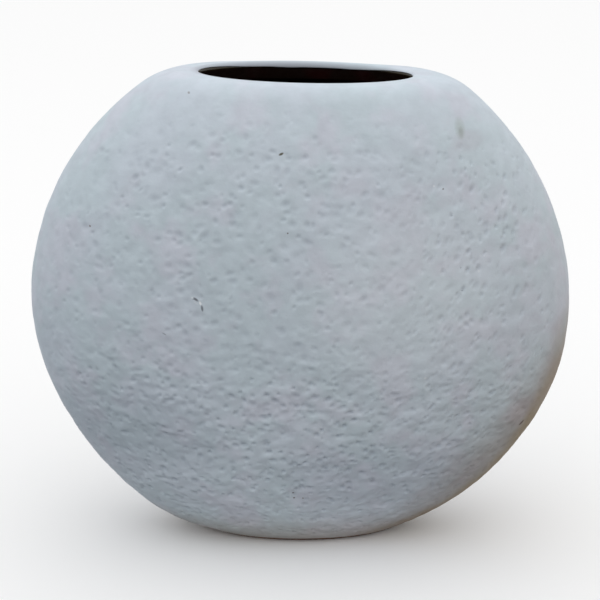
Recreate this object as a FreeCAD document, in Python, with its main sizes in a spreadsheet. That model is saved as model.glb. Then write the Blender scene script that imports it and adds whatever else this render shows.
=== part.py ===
import FreeCAD, Part
import math
import os
import Sketcher

# A pillow vase: a flat round vessel on a small foot, with a narrow oval mouth.
# Millimetres, +Z up, origin on the floor under the middle of the belly.
# X runs across the broad face, and Y through the thin side.
#
# The vase is built as a potter builds it: two dished walls luted edge to edge, a slab for the foot,
# a collar round the mouth, coils pressed into the joints, glaze inside and a thick coat outside.
# Every wall surface is the same form drawn at another depth below the outside: a turned profile,
# squashed front to back, so that each layer keeps its thickness both at the sides and at the faces.

os.makedirs("parts", exist_ok=True)
doc = FreeCAD.newDocument("pillow_vase")
sheet = doc.addObject("Spreadsheet::Sheet", "Sizes")

SIZES = {
    # the outside form: the belly's curves below and above its widest level, how much of the lower one
    # the foot cuts off, how far the crown reaches past the mouth, and angles in degrees
    "width": 220.0,
    "depth": 100.0,
    "lower_curve": 107.0,
    "foot_sink": 6.0,
    "upper_curve": 110.0,
    "crown_land": 16.15,
    "shoulder_curve": 31.0,
    "crown_slope": 6.5,
    "lean": 1.25,
    # the mouth, its rounded edge, and how far the coat reaches down inside it
    "mouth_width": 84.0,
    "mouth_depth": 36.0,
    "lip_round": 2.2,
    "coat_lap": 3.0,
    # the layers from outside to inside, and the inner part of the wall that tongue and coils take
    "coat": 1.5,
    "clay_wall": 5.0,
    "rebate": 2.5,
    "lining": 0.8,
    # the foot, and the bare edge of it that shows below the coat
    "foot_thickness": 7.0,
    "foot_reveal": 1.5,
    # the collar's joint below the lip, its tongue, and the coils in the joints
    "collar_drop": 11.0,
    "collar_tongue": 5.0,
    "seam_coil_width": 8.0,
    "base_coil_round": 2.5,
    "base_coil_height": 4.0,
    # how far a cutting tool runs past what it cuts
    "overrun": 10.0,
}
for row, (name, value) in enumerate(SIZES.items(), start=1):
    sheet.set(f"A{row}", name)
    sheet.set(f"B{row}", str(value))
    sheet.setAlias(f"B{row}", name)
doc.recompute()

# Depths of the surfaces below the outside, as formulas of the sheet.
OUTSIDE = "0"
CLAY = "Sizes.coat"
REBATE = "(Sizes.coat + Sizes.clay_wall - Sizes.rebate)"
CAVITY = "(Sizes.coat + Sizes.clay_wall)"
GLAZE = "(Sizes.coat + Sizes.clay_wall + Sizes.lining)"
COIL = "(Sizes.coat + Sizes.clay_wall + Sizes.base_coil_round)"
COIL_GLAZE = "(Sizes.coat + Sizes.clay_wall + Sizes.base_coil_round + Sizes.lining)"

# Levels above the floor.
FLOOR = "0"
BELLY = "(Sizes.lower_curve - Sizes.foot_sink)"
CROWN_REACH = "(Sizes.mouth_width / 2 + Sizes.crown_land)"
CORNER = f"sqrt(Sizes.upper_curve ^ 2 - ({CROWN_REACH} - Sizes.width / 2 + Sizes.upper_curve) ^ 2)"
APEX = f"({BELLY} + {CORNER} + {CROWN_REACH} * tan(Sizes.crown_slope * 1deg))"
LIP_REACH = "(max(Sizes.mouth_width / 2; Sizes.mouth_depth / 2 * Sizes.width / Sizes.depth) + Sizes.lip_round)"
LIP = f"({APEX} - {LIP_REACH} * tan(Sizes.crown_slope * 1deg))"
REVEAL = "Sizes.foot_reveal"
FOOT = "Sizes.foot_thickness"
FOOT_GLAZE = "(Sizes.foot_thickness + Sizes.lining)"
COIL_TOP = "(Sizes.foot_thickness + Sizes.base_coil_height)"
COIL_TOP_GLAZE = "(Sizes.foot_thickness + Sizes.base_coil_height + Sizes.lining)"
TONGUE = f"({LIP} - Sizes.collar_drop - Sizes.collar_tongue)"
COLLAR = f"({LIP} - Sizes.collar_drop)"
LAP = f"({LIP} - Sizes.coat_lap)"
ABOVE = f"({APEX} + Sizes.overrun)"

AXIS_Y = FreeCAD.Vector(0, 1, 0)
AXIS_Z = FreeCAD.Vector(0, 0, 1)

# How close a point's share of an oval comes to one when it lies on it, how far up the coat's lap the mouth's
# edge may begin, as a share of that lap, and how many points of an edge are tried.
OVAL_SHARE = 0.001
EDGE_START_SHARE = 0.01
EDGE_SAMPLES = 9


def value_of(formula):
    """The number that a formula of the sheet gives now."""
    return float(sheet.evalExpression(formula.replace("Sizes.", "")))


def bind(item, **formulas):
    """Ties an object's sizes to formulas of the sheet; a double underscore stands for a dot."""
    for prop, formula in formulas.items():
        item.setExpression(prop.replace("__", "."), formula)


def squash(name, round_item, squash_formula, low=FLOOR):
    """A round object pressed flat along Y by a share, raised to a level and leaned.

    The whole vase leans about the Y line through the middle of its belly.
    """
    flat = doc.addObject("Part::Scale", name)
    flat.Base = round_item
    flat.Uniform = False
    flat.Placement = FreeCAD.Placement(FreeCAD.Vector(), FreeCAD.Rotation(AXIS_Y, value_of("Sizes.lean")))
    bind(
        flat,
        YScale=squash_formula,
        Placement__Rotation__Angle="Sizes.lean",
        Placement__Base__x=f"({low} - {BELLY}) * sin(Sizes.lean * 1deg)",
        Placement__Base__z=f"{BELLY} + ({low} - {BELLY}) * cos(Sizes.lean * 1deg)",
    )
    return flat


def profile_points(depth):
    """Centres and angles of the profile's arcs at a depth, in the plane of the sketch."""
    belly = value_of(BELLY)
    slope = math.radians(value_of("Sizes.crown_slope"))
    reach = value_of("Sizes.width / 2") - depth
    lower = value_of("Sizes.lower_curve") - depth
    upper = value_of("Sizes.upper_curve") - depth
    shoulder = value_of("Sizes.shoulder_curve") - depth
    apex = value_of(APEX) - depth / math.cos(slope)
    lower_centre = reach - lower
    upper_centre = reach - upper
    # The shoulder's circle touches the crown line from below and the upper circle from inside.
    drop = apex - shoulder / math.cos(slope) - belly
    ring = upper - shoulder
    a = 1 + math.tan(slope) ** 2
    b = -2 * (upper_centre + drop * math.tan(slope))
    c = upper_centre ** 2 + drop ** 2 - ring ** 2
    shoulder_reach = (-b + math.sqrt(b * b - 4 * a * c)) / (2 * a)
    shoulder_height = belly + drop - shoulder_reach * math.tan(slope)
    turn = math.atan2(shoulder_height - belly, shoulder_reach - upper_centre)
    start = -math.pi + math.acos(lower_centre / lower)
    return {
        "lower": ((lower_centre, belly), lower, start, 0.0),
        "upper": ((upper_centre, belly), upper, 0.0, turn),
        "shoulder": ((shoulder_reach, shoulder_height), shoulder, turn, math.pi / 2 - slope),
        "apex": apex,
    }


def form(name, depth_formula):
    """The vase's whole form at a depth below the outside: a turned profile, squashed and leaned."""
    body = doc.addObject("PartDesign::Body", f"{name}_turned")
    sketch = body.newObject("Sketcher::SketchObject", f"{name}_profile")
    front_plane = next(f for f in body.Origin.OriginFeatures if f.Role == "XZ_Plane")
    sketch.AttachmentSupport = [(front_plane, "")]
    sketch.MapMode = "FlatFace"

    points = profile_points(value_of(depth_formula))
    arcs = []
    for key in ("lower", "upper", "shoulder"):
        (across, up), radius, first, last = points[key]
        circle = Part.Circle(FreeCAD.Vector(across, up, 0), AXIS_Z, radius)
        arcs.append(Part.ArcOfCircle(circle, first, last))
    top = FreeCAD.Vector(0, points["apex"], 0)
    crown = Part.LineSegment(arcs[2].EndPoint, top)
    axis = Part.LineSegment(top, arcs[0].StartPoint)
    lower, upper, shoulder, crown_line, axis_line = sketch.addGeometry([*arcs, crown, axis], False)

    root, vertical = -1, -2
    begin, end, middle = 1, 2, 3
    sketch.addConstraint([
        Sketcher.Constraint("Coincident", lower, end, upper, begin),
        Sketcher.Constraint("Tangent", upper, end, shoulder, begin),
        Sketcher.Constraint("Tangent", shoulder, end, crown_line, begin),
        Sketcher.Constraint("Coincident", crown_line, end, axis_line, begin),
        Sketcher.Constraint("Coincident", axis_line, end, lower, begin),
        Sketcher.Constraint("PointOnObject", axis_line, begin, vertical),
        Sketcher.Constraint("PointOnObject", axis_line, end, vertical),
        Sketcher.Constraint("Horizontal", lower, middle, upper, begin),
        Sketcher.Constraint("Horizontal", upper, middle, upper, begin),
    ])
    sizes = {
        "belly_reach": (("DistanceX", root, begin, upper, begin), f"Sizes.width / 2 - {depth_formula}"),
        "belly_height": (("DistanceY", root, begin, upper, begin), BELLY),
        "lower_radius": (("Radius", lower), f"Sizes.lower_curve - {depth_formula}"),
        "upper_radius": (("Radius", upper), f"Sizes.upper_curve - {depth_formula}"),
        "shoulder_radius": (("Radius", shoulder), f"Sizes.shoulder_curve - {depth_formula}"),
        "crown_turn": (("Angle", crown_line), "180 - Sizes.crown_slope"),
        "apex_height": (
            ("DistanceY", root, begin, crown_line, end),
            f"{APEX} - {depth_formula} / cos(Sizes.crown_slope * 1deg)",
        ),
    }
    for key, (constraint, formula) in sizes.items():
        now = value_of(formula)
        if key == "crown_turn":
            now = math.radians(now)
        index = sketch.addConstraint(Sketcher.Constraint(*constraint, now))
        sketch.renameConstraint(index, key)
        sketch.setExpression(f"Constraints.{key}", formula)

    turned = body.newObject("PartDesign::Revolution", f"{name}_turn")
    turned.Profile = sketch
    turned.ReferenceAxis = (sketch, ["V_Axis"])
    turned.Angle = 360
    half_depth = f"(Sizes.depth / 2 - {depth_formula})"
    half_width = f"(Sizes.width / 2 - {depth_formula})"
    return squash(name, body, f"{half_depth} / {half_width}")


def oval(name, depth_formula, low, high):
    """An oval prism along the vase's axis, wider than the mouth by a depth all round."""
    half_width = f"(Sizes.mouth_width / 2 + {depth_formula})"
    half_depth = f"(Sizes.mouth_depth / 2 + {depth_formula})"
    rod = doc.addObject("Part::Cylinder", f"{name}_round")
    bind(rod, Radius=half_width, Height=f"{high} - {low}")
    return squash(name, rod, f"{half_depth} / {half_width}", low)


def level(name, low, high):
    """A block that takes in the whole vase between two levels."""
    block = doc.addObject("Part::Box", name)
    bind(
        block,
        Length="Sizes.width + 2 * Sizes.overrun",
        Width="Sizes.depth + 2 * Sizes.overrun",
        Height=f"{high} - {low}",
        Placement__Base__x="-(Sizes.width / 2 + Sizes.overrun)",
        Placement__Base__y="-(Sizes.depth / 2 + Sizes.overrun)",
        Placement__Base__z=low,
    )
    return block


def cut(name, base, *tools):
    """The base without the tools."""
    tool = tools[0] if len(tools) == 1 else join(f"{name}_tools", *tools)
    result = doc.addObject("Part::Cut", name)
    result.Base = base
    result.Tool = tool
    return result


def join(name, *items):
    """All the items as one."""
    result = doc.addObject("Part::MultiFuse", name)
    result.Shapes = list(items)
    return result


def meet(name, *items):
    """What all the items share."""
    result = doc.addObject("Part::MultiCommon", name)
    result.Shapes = list(items)
    return result


def on_mouth_edge(edge, depth):
    """Whether an edge runs round the top of the mouth's well, which is wider than the mouth by a depth."""
    if edge.Degenerated:
        return False
    half_width = value_of("Sizes.mouth_width / 2") + depth
    half_depth = value_of("Sizes.mouth_depth / 2") + depth
    edge_start = value_of(f"{LAP} + Sizes.coat_lap * {EDGE_START_SHARE}")
    upright = outside.Placement.inverse()
    places = [upright.multVec(point) for point in edge.discretize(Number=EDGE_SAMPLES)]
    shares = [(place.x / half_width) ** 2 + (place.y / half_depth) ** 2 for place in places]
    on_oval = all(abs(share - 1) < OVAL_SHARE for share in shares)
    return on_oval and all(place.z > edge_start for place in places)


def round_lip(name, base, depth_formula):
    """The base with its mouth edge rounded, in a body of its own."""
    body = doc.addObject("PartDesign::Body", name)
    body.BaseFeature = base
    doc.recompute()
    stock = body.Tip
    depth = value_of(depth_formula)
    edges = [f"Edge{n}" for n, edge in enumerate(stock.Shape.Edges, start=1) if on_mouth_edge(edge, depth)]
    rounding = body.newObject("PartDesign::Fillet", f"{name}_round")
    rounding.Base = (stock, edges)
    bind(rounding, Radius=f"Sizes.lip_round - {depth_formula}")
    body.Tip = rounding
    return body


# The surfaces, from outside to inside.
outside = form("outside_form", OUTSIDE)
clay = form("clay_form", CLAY)
rebate = form("rebate_form", REBATE)
cavity = form("cavity_form", CAVITY)
glaze = form("glaze_form", GLAZE)
coil = form("coil_form", COIL)
coil_glaze = form("coil_glaze_form", COIL_GLAZE)

# The coat's and the clay's skins, with the mouth sunk to where the coat ends and its edge rounded.
coat_stock = meet("coat_stock", outside, level("coat_level", REVEAL, ABOVE))
coat_skin = round_lip("coat_skin", cut("coat_cut", coat_stock, oval("coat_well", OUTSIDE, LAP, ABOVE)), OUTSIDE)
clay_skin = round_lip("clay_skin", cut("clay_cut", clay, oval("clay_well", CLAY, LAP, ABOVE)), CLAY)

# The clay between the skin and the hollow, above the foot.
hollow = join("hollow", cavity, oval("hollow_well", CLAY, TONGUE, LAP))
walls = meet("walls", cut("shell", clay_skin, hollow), level("wall_level", FOOT, ABOVE))

# The collar takes the walls above its joint, and a tongue of it runs down inside them.
tongue_zone = meet("tongue_zone", rebate, level("tongue_level", TONGUE, COLLAR))
collar_zone = join("collar_zone", level("collar_level", COLLAR, ABOVE), tongue_zone)
mouth_collar = meet("mouth_collar", walls, collar_zone)

# A flattened coil lies in a groove on the inside of each side seam, from the base coil to the tongue.
groove = cut("groove", rebate, cavity)


def seam_coil(name, start):
    """One seam coil, cut from the inner part of the wall on one side of the vase."""
    zone = doc.addObject("Part::Box", f"{name}_zone")
    bind(
        zone,
        Length="Sizes.width / 2 + Sizes.overrun",
        Width="Sizes.seam_coil_width",
        Height=f"{TONGUE} - {COIL_TOP}",
        Placement__Base__x=start,
        Placement__Base__y="-Sizes.seam_coil_width / 2",
        Placement__Base__z=COIL_TOP,
    )
    return meet(name, groove, zone)


left_seam_coil = seam_coil("left_seam_coil", "-(Sizes.width / 2 + Sizes.overrun)")
right_seam_coil = seam_coil("right_seam_coil", "0")


def half(name, start):
    """One dished wall: the walls on one side of the seam plane, less the collar and the seam coils."""
    zone = doc.addObject("Part::Box", f"{name}_zone")
    bind(
        zone,
        Length="Sizes.width + 2 * Sizes.overrun",
        Width="Sizes.depth / 2 + Sizes.overrun",
        Height=f"{COLLAR} - {FOOT}",
        Placement__Base__x="-(Sizes.width / 2 + Sizes.overrun)",
        Placement__Base__y=start,
        Placement__Base__z=FOOT,
    )
    return cut(name, meet(f"{name}_wall", walls, zone), tongue_zone, left_seam_coil, right_seam_coil)


back_half = half("back_half", "-(Sizes.depth / 2 + Sizes.overrun)")
front_half = half("front_half", "0")

# The foot is a slab under the walls, bare and flush with the coat at its bottom edge.
foot_edge = meet("foot_edge", outside, level("foot_edge_level", FLOOR, REVEAL))
foot_core = meet("foot_core", clay, level("foot_core_level", REVEAL, FOOT))
base_slab = join("base_slab", foot_edge, foot_core)

# The base coil fills the corner between the slab and the walls.
base_coil = meet("base_coil", cut("coil_ring", cavity, coil), level("coil_level", FOOT, COIL_TOP))

# The lining covers all the clay inside, over the coil and up the mouth to the coat.
lined = cut("lined", meet("lined_hollow", hollow, level("lined_level", FOOT, ABOVE)), base_coil)
free_top = meet("free_top", glaze, level("free_top_level", COIL_TOP_GLAZE, ABOVE))
free_foot = meet("free_foot", coil_glaze, level("free_foot_level", FOOT_GLAZE, COIL_TOP_GLAZE))
free_neck = oval("free_neck", "(Sizes.coat - Sizes.lining)", TONGUE, ABOVE)
inner_lining = cut("inner_lining", lined, free_top, free_foot, free_neck)

# The coat is one unbroken skin from the foot's edge over the lip.
outer_coat = cut("outer_coat", coat_skin, clay_skin)

NODES = [
    base_slab,
    back_half,
    front_half,
    base_coil,
    left_seam_coil,
    right_seam_coil,
    mouth_collar,
    inner_lining,
    outer_coat,
]
for node in NODES:
    node.Label = node.Name
doc.recompute()

for item in doc.Objects:
    faults = [state for state in item.State if state in ("Invalid", "Error")]
    if faults:
        raise RuntimeError(f"{item.Name} is {faults}")
for node in NODES:
    if node.Shape.isNull() or not node.Shape.isValid():
        raise RuntimeError(f"{node.Name} has no valid shape")
    box = node.Shape.optimalBoundingBox(True, False)
    print(
        f"{node.Label}: {len(node.Shape.Solids)} solid, {node.Shape.Volume:.0f} mm3, "
        f"x {box.XMin:.2f} {box.XMax:.2f}, y {box.YMin:.2f} {box.YMax:.2f}, z {box.ZMin:.2f} {box.ZMax:.2f}"
    )
    node.Shape.exportStep(f"parts/{node.Label}.step")
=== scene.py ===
"""A pillow vase: a thick matt white coat with soft pits outside, and a dark glaze inside.

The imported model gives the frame. The coat, the lining and the foot are rebuilt here as closed surfaces with
the unevenness of a hand-built pot, and the clay pieces under them get clay materials. Lengths are in
millimetres until a mesh or a material is made.
"""

import itertools
import logging
import math
from dataclasses import dataclass, field
from enum import Enum
from functools import cached_property

import bpy
import numpy as np
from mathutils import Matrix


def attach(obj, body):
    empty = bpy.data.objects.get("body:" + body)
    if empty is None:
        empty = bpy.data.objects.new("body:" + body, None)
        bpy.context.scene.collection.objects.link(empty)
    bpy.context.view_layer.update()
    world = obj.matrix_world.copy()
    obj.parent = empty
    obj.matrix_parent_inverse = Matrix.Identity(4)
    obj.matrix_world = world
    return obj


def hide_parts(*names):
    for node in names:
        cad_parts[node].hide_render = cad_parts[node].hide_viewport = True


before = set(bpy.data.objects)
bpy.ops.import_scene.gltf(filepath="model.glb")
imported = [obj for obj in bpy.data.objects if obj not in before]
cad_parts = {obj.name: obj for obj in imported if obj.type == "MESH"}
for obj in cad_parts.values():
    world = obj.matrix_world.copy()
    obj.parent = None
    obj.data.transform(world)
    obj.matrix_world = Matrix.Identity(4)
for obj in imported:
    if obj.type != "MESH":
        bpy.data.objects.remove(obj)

LOG = logging.getLogger("pillow_vase")
METRES = 0.001
TINY = 1e-9

Cell = tuple[float, float, float]
Socket = bpy.types.NodeSocket
Value = float | tuple[float, ...] | Socket
Inputs = dict[int | str, Value] | tuple[Value, ...]

# The two values that a fade runs between, and the share at each.
Span = tuple[float, float, float, float]


class Side(Enum):
    """One quarter of the coat, by how far its middle lies round the belly's oval, from +X."""

    RIGHT = 0.0
    FRONT = 0.25
    LEFT = 0.5
    BACK = 0.75


class Clay(Enum):
    """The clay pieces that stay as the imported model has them, by the finish that they take."""

    WALL = ("back_half", "front_half", "mouth_collar")
    COIL = ("base_coil", "left_seam_coil", "right_seam_coil")


def unit(vectors: np.ndarray) -> np.ndarray:
    """The vectors, each one unit long."""
    return vectors / np.maximum(np.linalg.norm(vectors, axis=-1, keepdims=True), TINY)


def eased(share: np.ndarray) -> np.ndarray:
    """A share of the way with a soft start and end: three times its square, less twice its cube."""
    return share * share * (3.0 - 2.0 * share)


def blend(first: np.ndarray, last: np.ndarray, share: np.ndarray) -> np.ndarray:
    """What lies a share of the way from the first to the last."""
    return first * (1.0 - share) + last * share


def raised(flat: np.ndarray, level: np.ndarray) -> np.ndarray:
    """Places given as x and y, each with its level as z."""
    return np.concatenate([flat, level[..., None]], axis=-1)


def linear(code: str) -> tuple[float, float, float, float]:
    """A colour in the linear numbers that a shader takes, by the sRGB standard's own curve.

    A channel up to 0.04045 is divided by 12.92. To a higher one 0.055 is added, the sum is divided by 1.055
    and raised to the power of 2.4.

    Args:
        code: the colour as sRGB hex.

    Returns:
        Red, green, blue and a full alpha.
    """
    channels = [int(code[i:i + 2], 16) / 255 for i in (1, 3, 5)]
    steps = [c / 12.92 if c <= 0.04045 else ((c + 0.055) / 1.055) ** 2.4 for c in channels]
    return (*steps, 1.0)


@dataclass(frozen=True)
class Fade:
    """A soft step from 0 to 1 between two values."""

    low: float
    high: float

    def at(self, value: np.ndarray) -> np.ndarray:
        """The height of the step at each value."""
        return eased(np.clip((value - self.low) / (self.high - self.low), 0.0, 1.0))


@dataclass(frozen=True)
class Wave:
    """A layer of smooth noise: its height, the cells that it changes over, and the channel that it reads."""

    height: float
    cell: Cell
    channel: int


@dataclass(frozen=True)
class Pits:
    """One kind of pit: its depth, the cells that hold one each, how many do, and the radii in cells."""

    depth: float
    cell: Cell
    filled: float
    smallest: float = 0.24
    largest: float = 0.5


class LatticeNoise:
    """Seeded noise in space, from random numbers kept for the cells of a lattice that repeats.

    For a pit, a cell's numbers are its centre's three coordinates, its radius, its depth and its chance.
    """

    PERIOD = 48
    CHANNELS = 6
    REACH = 0.8
    SHALLOWEST = 0.3

    def __init__(self, seed: int) -> None:
        """Draws the numbers of every cell."""
        self.table = np.random.default_rng(seed).random((self.PERIOD,) * 3 + (self.CHANNELS,))

    def cell(self, index: np.ndarray, channel: int | slice = slice(None)) -> np.ndarray:
        """The random numbers of each cell, or one of them."""
        i, j, k = np.moveaxis(index % self.PERIOD, -1, 0)
        return self.table[i, j, k, channel]

    def smooth(self, points: np.ndarray, wave: Wave) -> np.ndarray:
        """A layer's height at each place: the numbers of the eight nearest corners, blended by eased shares.

        Args:
            points: places in millimetres, the last axis being x, y and z.
            wave: the layer.

        Returns:
            One number for each place, up to the layer's height above and below zero.
        """
        scaled = points / np.array(wave.cell)
        base = np.floor(scaled).astype(int)
        share = eased(scaled - base)
        total = np.zeros(points.shape[:-1])
        for corner in itertools.product((0, 1), repeat=3):
            weight = np.prod(np.where(corner, share, 1.0 - share), axis=-1)
            total += weight * self.cell(base + corner, wave.channel)
        return wave.height * (2.0 * total - 1.0)

    def pitted(self, points: np.ndarray, outward: np.ndarray, pits: Pits) -> np.ndarray:
        """The depth at each place of round hollows strewn over a surface, one at most in each cell of space.

        Each hollow has its own centre, radius and depth. Its depth falls off from the centre as the square
        of one less the squared share of the radius, so its rim is soft. The distance is taken along the
        surface, and a centre counts less the farther it lies from the surface.

        Args:
            points: places in millimetres.
            outward: the surface's direction at each place.
            pits: the kind of hollow.

        Returns:
            The depth of the deepest hollow at each place, in millimetres.
        """
        scaled = points / np.array(pits.cell)
        base = np.floor(scaled).astype(int)
        facing = unit(outward * np.array(pits.cell))
        deepest = np.zeros(points.shape[:-1])
        for step in itertools.product((-1, 0, 1), repeat=3):
            index = base + step
            *centre, width, sunk, chance = np.moveaxis(self.cell(index), -1, 0)
            apart = scaled - index - np.stack(centre, axis=-1)
            off = np.einsum("...i,...i->...", apart, facing)
            along = np.einsum("...i,...i->...", apart, apart) - off ** 2
            radius = blend(pits.smallest, pits.largest, width)
            depth = blend(self.SHALLOWEST, 1.0, sunk) * (chance < pits.filled)
            depth = depth * np.clip(1.0 - (off / self.REACH) ** 2, 0.0, 1.0)
            deepest = np.maximum(deepest, depth * np.clip(1.0 - along / radius ** 2, 0.0, 1.0) ** 2)
        return pits.depth * deepest


@dataclass(frozen=True)
class VaseForm:
    """The sizes of the vase's form: a turned profile of three arcs and a crown line, squashed and leaned."""

    width: float = 220.0
    depth: float = 100.0
    lower_curve: float = 107.0
    foot_sink: float = 6.0
    upper_curve: float = 110.0
    crown_land: float = 16.15
    shoulder_curve: float = 31.0
    crown_slope: float = math.radians(6.5)
    lean: float = math.radians(1.25)
    mouth_width: float = 84.0
    mouth_depth: float = 36.0
    lip_round: float = 2.2
    coat: float = 1.5
    clay_wall: float = 5.0
    lining: float = 0.8
    foot_thickness: float = 7.0
    foot_reveal: float = 1.5
    fine_steps: int = 20000

    @property
    def belly(self) -> float:
        """The level of the widest part."""
        return self.lower_curve - self.foot_sink

    @property
    def apex(self) -> float:
        """The level at which the crown lines of the outside would meet over the mouth.

        Returns:
            The top of the upper curve's end, raised by the crown's slope over its reach.
        """
        reach = self.mouth_width / 2 + self.crown_land
        across = reach - self.width / 2 + self.upper_curve
        corner = math.sqrt(self.upper_curve ** 2 - across ** 2)
        return self.belly + corner + reach * math.tan(self.crown_slope)

    @property
    def cavity(self) -> float:
        """The depth of the lining's face below the outside."""
        return self.coat + self.clay_wall + self.lining

    def turned(self, points: np.ndarray, angle: float) -> np.ndarray:
        """Points turned about the Y line through the middle of the belly.

        Args:
            points: places in millimetres.
            angle: how far they turn, from up towards +X.

        Returns:
            The turned places.
        """
        x, y, z = np.moveaxis(points, -1, 0)
        up = z - self.belly
        across = x * math.cos(angle) + up * math.sin(angle)
        level = self.belly - x * math.sin(angle) + up * math.cos(angle)
        return np.stack([across, y, level], axis=-1)

    def leaned(self, points: np.ndarray) -> np.ndarray:
        """Points of the upright form, leaned over."""
        return self.turned(points, self.lean)

    def upright(self, points: np.ndarray) -> np.ndarray:
        """Points of the leaned form, turned back."""
        return self.turned(points, -self.lean)

    def angles(self, shares: np.ndarray) -> np.ndarray:
        """The angles round the axis that lie at given shares of the way round the belly's oval.

        Args:
            shares: how far each place lies round the oval, from +X, in whole turns.

        Returns:
            The angles, read off the summed lengths of many short chords.
        """
        fine = np.linspace(0.0, 2.0 * math.pi, self.fine_steps + 1)
        middle = (fine[1:] + fine[:-1]) / 2
        steps = np.hypot(self.width * np.sin(middle), self.depth * np.cos(middle))
        walked = np.concatenate([[0.0], np.cumsum(steps)])
        whole = np.floor(shares)
        return 2.0 * math.pi * whole + np.interp(shares - whole, walked / walked[-1], fine)


class Skin:
    """The vase's form at one depth below its outside, as rings of points round the axis."""

    LEVEL_STEPS = 4

    def __init__(self, form: VaseForm, depth: float, angles: np.ndarray) -> None:
        """Works out the arcs of the profile at this depth.

        The shoulder's centre is where a line at its radius under the crown line meets a circle at its radius
        inside the upper curve, which is a quadratic in the reach.

        Args:
            form: the sizes.
            depth: how far the skin lies below the outside.
            angles: the angles round the axis at which a ring has its points.
        """
        self.form = form
        self.depth = depth
        self.angles = angles
        self.squash = (form.depth / 2 - depth) / (form.width / 2 - depth)
        self.lower_radius = form.lower_curve - depth
        self.upper_radius = form.upper_curve - depth
        self.shoulder_radius = form.shoulder_curve - depth
        reach = form.width / 2 - depth
        self.lower_centre = reach - self.lower_radius
        self.upper_centre = reach - self.upper_radius
        slope = math.tan(form.crown_slope)
        self.apex = form.apex - depth / math.cos(form.crown_slope)
        drop = self.apex - self.shoulder_radius / math.cos(form.crown_slope) - form.belly
        ring = self.upper_radius - self.shoulder_radius
        a = 1.0 + slope ** 2
        b = -2.0 * (self.upper_centre + drop * slope)
        c = self.upper_centre ** 2 + drop ** 2 - ring ** 2
        self.shoulder_reach = (-b + math.sqrt(b * b - 4.0 * a * c)) / (2.0 * a)
        self.shoulder_level = form.belly + drop - self.shoulder_reach * slope
        self.turn = math.atan2(self.shoulder_level - form.belly, self.shoulder_reach - self.upper_centre)

    def ring(self, radius: np.ndarray, level: np.ndarray) -> np.ndarray:
        """Rings of the squashed form: x is the radius times the angle's cosine, y the same by its sine.

        Args:
            radius: one number for each ring, or for each of its points.
            level: the same, for z.

        Returns:
            The points of the rings.
        """
        x = radius * np.cos(self.angles)
        y = radius * np.sin(self.angles) * self.squash
        return np.stack([x, y, np.broadcast_to(level, x.shape)], axis=-1)

    def arc(self, reach: float, level: float, radius: float, turns: np.ndarray) -> np.ndarray:
        """Rings along an arc of the profile, by its centre, its radius and the angle of each ring on it."""
        return self.ring(reach + radius * np.cos(turns), level + radius * np.sin(turns))

    def lower(self, start: np.ndarray, count: int) -> np.ndarray:
        """Rings up the lower curve, to the widest level.

        Args:
            start: the level at which it starts, for each angle.
            count: the number of rings.

        Returns:
            The rings.
        """
        first = np.arcsin((start - self.form.belly) / self.lower_radius)
        left = np.linspace(1.0, 0.0, count)[:, None]
        return self.arc(self.lower_centre, self.form.belly, self.lower_radius, first * left)

    def upper(self, count: int) -> np.ndarray:
        """Rings up the upper curve, from above the widest level to the shoulder."""
        turns = np.linspace(0.0, self.turn, count + 1)[1:, None]
        return self.arc(self.upper_centre, self.form.belly, self.upper_radius, turns)

    def shoulder(self, count: int) -> np.ndarray:
        """Rings over the shoulder, to the crown."""
        turns = np.linspace(self.turn, math.pi / 2 - self.form.crown_slope, count + 1)[1:, None]
        return self.arc(self.shoulder_reach, self.shoulder_level, self.shoulder_radius, turns)

    def crown_level(self, places: np.ndarray) -> np.ndarray:
        """The level of the crown over places whose first two numbers are x and y."""
        reach = np.hypot(places[..., 0], places[..., 1] / self.squash)
        return self.apex - reach * math.tan(self.form.crown_slope)

    def crown(self, first: np.ndarray, last: np.ndarray, count: int) -> np.ndarray:
        """Rings on the crown between two of its rings.

        Args:
            first: the ring that they leave.
            last: the ring that they reach.
            count: how many lie between the two.

        Returns:
            The rings between, in even steps.
        """
        shares = np.linspace(0.0, 1.0, count + 2)[1:-1, None, None]
        rings = blend(first, last, shares)
        rings[..., 2] = self.crown_level(rings)
        return rings

    def upright_levels(self, level: float | np.ndarray) -> np.ndarray:
        """The levels on the lower curve that come to one level once the form is leaned.

        Args:
            level: the level after leaning, one number or one for each angle.

        Returns:
            The level before leaning for each angle, found by putting the reach at the last guess back in.
        """
        found = np.broadcast_to(level, self.angles.shape).astype(float)
        for _ in range(self.LEVEL_STEPS):
            across = self.lower_centre + np.sqrt(self.lower_radius ** 2 - (found - self.form.belly) ** 2)
            fall = across * np.cos(self.angles) * math.sin(self.form.lean)
            found = self.form.belly + (level - self.form.belly + fall) / math.cos(self.form.lean)
        return found

    def level_ring(self, level: float) -> np.ndarray:
        """The ring of the lower curve that is level once the form is leaned."""
        found = self.upright_levels(level)
        across = np.sqrt(self.lower_radius ** 2 - (found - self.form.belly) ** 2)
        return self.ring(self.lower_centre + across, found)

    def mouth(self, outward: float | np.ndarray) -> tuple[np.ndarray, np.ndarray]:
        """The mouth's oval, moved outward in its plane.

        Args:
            outward: how far it is moved, one number or one for each point.

        Returns:
            The points as x and y, and the outward direction at each.
        """
        across, along = self.form.mouth_width / 2, self.form.mouth_depth / 2
        oval = np.stack([across * np.cos(self.angles), along * np.sin(self.angles)], axis=-1)
        away = unit(np.stack([along * np.cos(self.angles), across * np.sin(self.angles)], axis=-1))
        return oval + np.asarray(outward)[..., None] * away, away


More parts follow.
